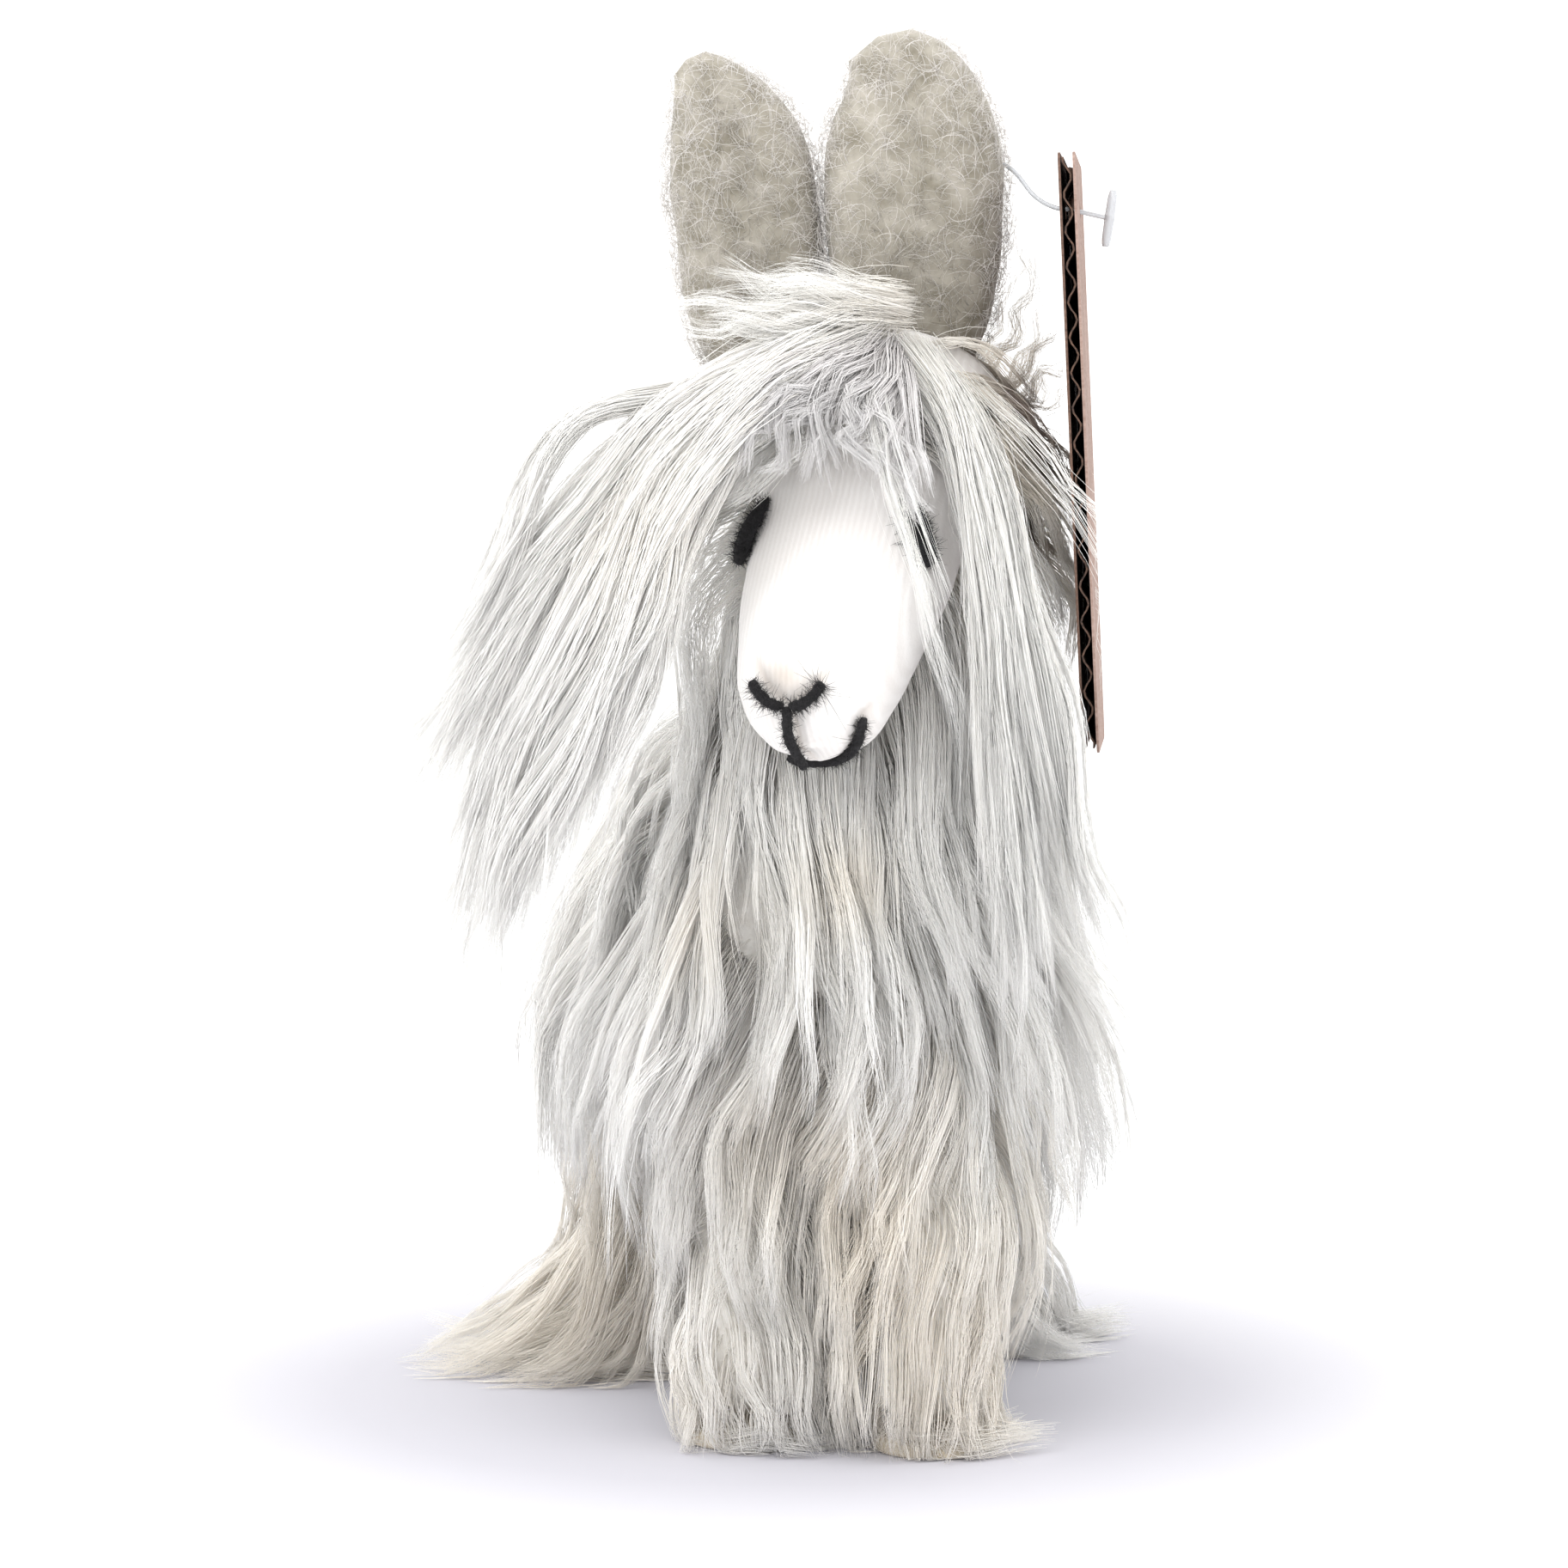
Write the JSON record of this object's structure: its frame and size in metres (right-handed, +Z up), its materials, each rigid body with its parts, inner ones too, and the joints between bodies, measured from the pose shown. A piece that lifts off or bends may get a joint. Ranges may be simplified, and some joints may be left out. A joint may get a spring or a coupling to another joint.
{
  "type": "stuffed toy alpaca",
  "caption": "Standing soft toy alpaca in long white fur with a felted face, upright short-fur ears that bend, a nodding head, a springy tail and a board swing tag on a plastic pin.",
  "frame": {"origin": "middle of the base of the bounding box, on the surface that the toy stands on", "axes": "+Z up, the toy faces -Y, and its left side is +X"},
  "size_m": [0.1494, 0.212, 0.273],
  "materials": {
    "suri_fur": "long silky undyed alpaca fur in wavy locks, cream between the legs and at the feet",
    "short_fur": "dense short matt fur, grey beige",
    "fleece": "smooth ribbed fleece knit with a short nap",
    "black_felt": "needle-felted wool yarn with stray fibres",
    "fibre_fill": "loose polyester fibre filling",
    "sole_felt": "plain wool felt pad",
    "kraft_board": "single-wall corrugated kraft board with worn cut edges",
    "clear_nylon": "clear moulded nylon"
  },
  "bodies": {
    "torso": {"body_pelt": "suri_fur", "body_stuffing": "fibre_fill", "neck_pelt": "suri_fur", "leg_front_left_pelt": "suri_fur", "leg_front_left_stuffing": "fibre_fill", "leg_front_right_pelt": "suri_fur", "leg_front_right_stuffing": "fibre_fill", "leg_rear_left_pelt": "suri_fur", "leg_rear_left_stuffing": "fibre_fill", "leg_rear_right_pelt": "suri_fur", "leg_rear_right_stuffing": "fibre_fill", "sole_front_left": "sole_felt", "sole_front_right": "sole_felt", "sole_rear_left": "sole_felt", "sole_rear_right": "sole_felt"},
    "neck": {"neck_stuffing": "fibre_fill"},
    "head": {"head_stuffing": "fibre_fill", "face_cover": "fleece", "crown_pelt": "suri_fur", "eye_left": "black_felt", "eye_right": "black_felt", "nostril_stitch_left": "black_felt", "nostril_stitch_right": "black_felt", "philtrum_stitch": "black_felt", "mouth_stitch": "black_felt", "fringe": "suri_fur", "forelock_sweep": "suri_fur", "forelock_fall": "suri_fur"},
    "ear_left": {"ear_left_cover": "short_fur", "ear_left_stuffing": "fibre_fill"},
    "ear_right": {"ear_right_cover": "short_fur", "ear_right_stuffing": "fibre_fill"},
    "tag_pin": {"tag_pin": "clear_nylon"},
    "tag": {"tag_inner_liner": "kraft_board", "tag_flutes": "kraft_board", "tag_outer_liner": "kraft_board"},
    "tail": {"tail_pelt": "suri_fur", "tail_stuffing": "fibre_fill"}
  },
  "joints": [
    {"name": "head_turn", "type": "hinge", "parent": "torso", "child": "neck", "pos_m": [0.0091, -0.05304, 0.18], "axis": [0, 0, 1], "range_deg": [-15, 15], "stiffness_Nm_per_rad": 0.4},
    {"name": "head_nod", "type": "hinge", "parent": "neck", "child": "head", "pos_m": [0.0091, -0.05304, 0.18], "axis": [0.8746, -0.4848, 0], "range_deg": [-12, 6], "stiffness_Nm_per_rad": 0.6},
    {"name": "ear_left_flop", "type": "hinge", "parent": "head", "child": "ear_left", "pos_m": [0.0211, -0.05504, 0.214], "axis": [1, 0, 0], "range_deg": [-18, 18], "stiffness_Nm_per_rad": 0.06},
    {"name": "ear_right_flop", "type": "hinge", "parent": "head", "child": "ear_right", "pos_m": [-0.0079, -0.05004, 0.214], "axis": [1, 0, 0], "range_deg": [-18, 18], "stiffness_Nm_per_rad": 0.06},
    {"name": "pin_sway", "type": "hinge", "parent": "ear_left", "child": "tag_pin", "pos_m": [0.0367, -0.05724, 0.2498], "axis": [0, 1, 0], "range_deg": [-10, 5], "stiffness_Nm_per_rad": 0.03, "springref_deg": -1.15},
    {"name": "tag_swing", "type": "hinge", "parent": "tag_pin", "child": "tag", "pos_m": [0.0506, -0.06304, 0.2395], "axis": [0.9838, -0.1735, 0.0454], "range_deg": [-30, 30]},
    {"name": "tail_lift", "type": "hinge", "parent": "torso", "child": "tail", "pos_m": [0.0071, 0.07496, 0.125], "axis": [1, 0, 0], "range_deg": [-6, 35], "stiffness_Nm_per_rad": 0.06}
  ]
}
